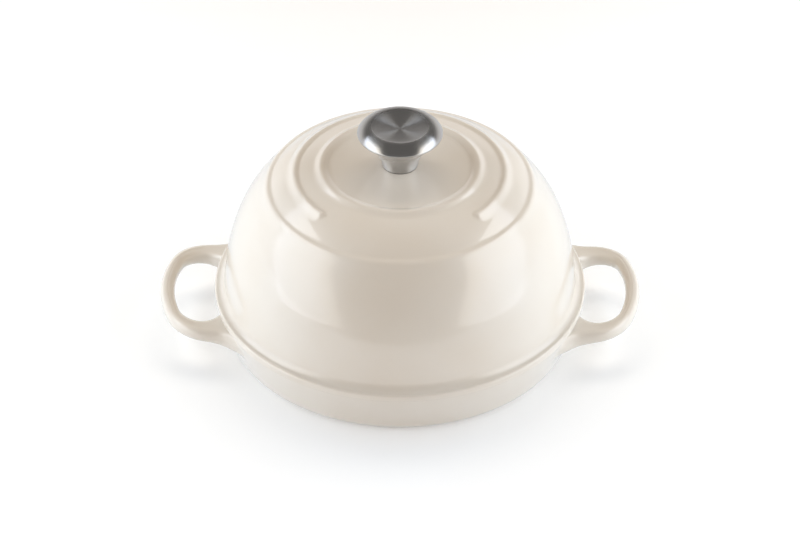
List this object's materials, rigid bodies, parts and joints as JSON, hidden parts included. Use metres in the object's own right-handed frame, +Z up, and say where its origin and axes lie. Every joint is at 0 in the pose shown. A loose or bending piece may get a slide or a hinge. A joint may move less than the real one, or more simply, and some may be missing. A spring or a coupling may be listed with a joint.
{
  "type": "bread cloche",
  "caption": "Domed cast lid with raised rings and a stainless knob, seated on a low round cast pan with loop handles, for baking bread.",
  "frame": {"origin": "centre of the ring that the pan stands on, on the table's surface", "axes": "+Z up, along the axis of the dome and the knob; the two handles lie along X; the gap in the middle raised ring faces -Y"},
  "size_m": [0.3278, 0.2526, 0.1647],
  "materials": {
    "cream_enamel": "gloss cream enamel over cast iron, satin black enamel inside",
    "stainless": "satin brushed stainless steel",
    "dark_washer": "matt heat-proof washer"
  },
  "bodies": {
    "pan": {"base_pan": "cream_enamel"},
    "lid": {"dome_lid": "cream_enamel", "knob_cap": "stainless", "knob_stem": "stainless", "knob_threaded_boss": "stainless", "knob_base_washer": "dark_washer", "knob_screw": "stainless", "spring_washer": "stainless"}
  },
  "joints": [
    {"name": "lid_lift", "type": "slide", "parent": "pan", "child": "lid", "axis": [0, 0, 1], "range_m": [0, 0.2]}
  ]
}
